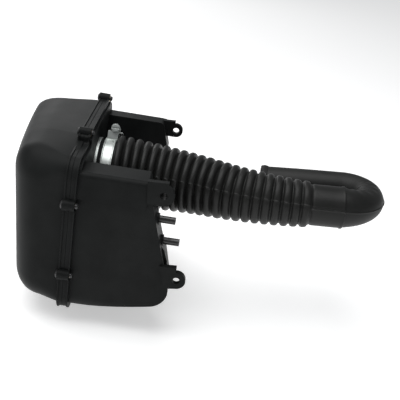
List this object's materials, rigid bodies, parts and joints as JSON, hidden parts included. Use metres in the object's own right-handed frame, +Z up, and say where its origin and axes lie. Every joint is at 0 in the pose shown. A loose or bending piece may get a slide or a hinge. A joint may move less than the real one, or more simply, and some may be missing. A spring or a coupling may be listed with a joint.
{
  "type": "air filter housing",
  "caption": "Two-piece moulded airbox with screwed cover, round pleated element on a stud, and a clamped corrugated duct ending in a return elbow.",
  "frame": {"origin": "centre of the hole in the front upper mounting lug, at mid thickness", "axes": "+X from the cover towards the duct side, along the moulding draw; +Y from the front wall to the rear; +Z up"},
  "size_m": [0.4343, 0.2312, 0.2139],
  "materials": {
    "shell_black": "satin moulded plastic",
    "duct_rubber": "semi-matt moulded rubber",
    "seal_rubber": "matt",
    "dark_steel": "black coated steel",
    "bright_steel": "bright zinc",
    "brass": "turned",
    "pipe_black": "gloss",
    "filter_paper": "pleated paper"
  },
  "bodies": {
    "airbox": {"body_shell": "shell_black", "seam_inserts": "brass", "neck_collar": "bright_steel", "duct": "duct_rubber", "elbow": "duct_rubber", "elbow_lip": "seal_rubber", "clamp_band": "bright_steel", "clamp_housing": "bright_steel", "breather_pipe_upper": "pipe_black", "breather_pipe_lower": "pipe_black", "stud_bracket": "bright_steel", "centre_stud": "bright_steel", "intake_snorkel": "seal_rubber", "intake_screen": "bright_steel", "drain_tube": "pipe_black"},
    "cover": {"cover_shell": "shell_black", "seam_gasket": "seal_rubber"},
    "screws": {"seam_screws": "dark_steel"},
    "filter": {"filter_cage": "shell_black", "filter_media": "filter_paper", "filter_seal": "seal_rubber", "filter_end_cap": "shell_black", "stud_washer": "seal_rubber"},
    "nut": {"wing_nut": "bright_steel"},
    "clamp_worm": {"clamp_screw": "bright_steel"},
    "drain": {"drain_plug": "seal_rubber", "drain_clip": "bright_steel"}
  },
  "joints": [
    {"name": "cover_off", "type": "slide", "parent": "airbox", "child": "cover", "axis": [-1, 0, 0], "range_m": [0, 0.16]},
    {"name": "screws_out", "type": "slide", "parent": "cover", "child": "screws", "axis": [-1, 0, 0], "range_m": [0, 0.05]},
    {"name": "filter_out", "type": "slide", "parent": "airbox", "child": "filter", "axis": [-1, 0, 0], "range_m": [0, 0.1]},
    {"name": "wing_nut_spin", "type": "hinge", "parent": "filter", "child": "nut", "pos_m": [-0.1466, 0.1055, -0.028], "axis": [1, 0, 0], "continuous": true},
    {"name": "clamp_screw_spin", "type": "hinge", "parent": "airbox", "child": "clamp_worm", "pos_m": [-0.0687, 0.12633, 0.01547], "axis": [0, -0.9018, 0.4321], "continuous": true},
    {"name": "drain_plug_off", "type": "slide", "parent": "airbox", "child": "drain", "axis": [0, 0, -1], "range_m": [0, 0.03]}
  ],
  "couplings": [
    {"joint": "screws_out", "follows": "cover_off", "ratio": 0.3},
    {"joint": "filter_out", "follows": "cover_off", "ratio": 0.6}
  ]
}
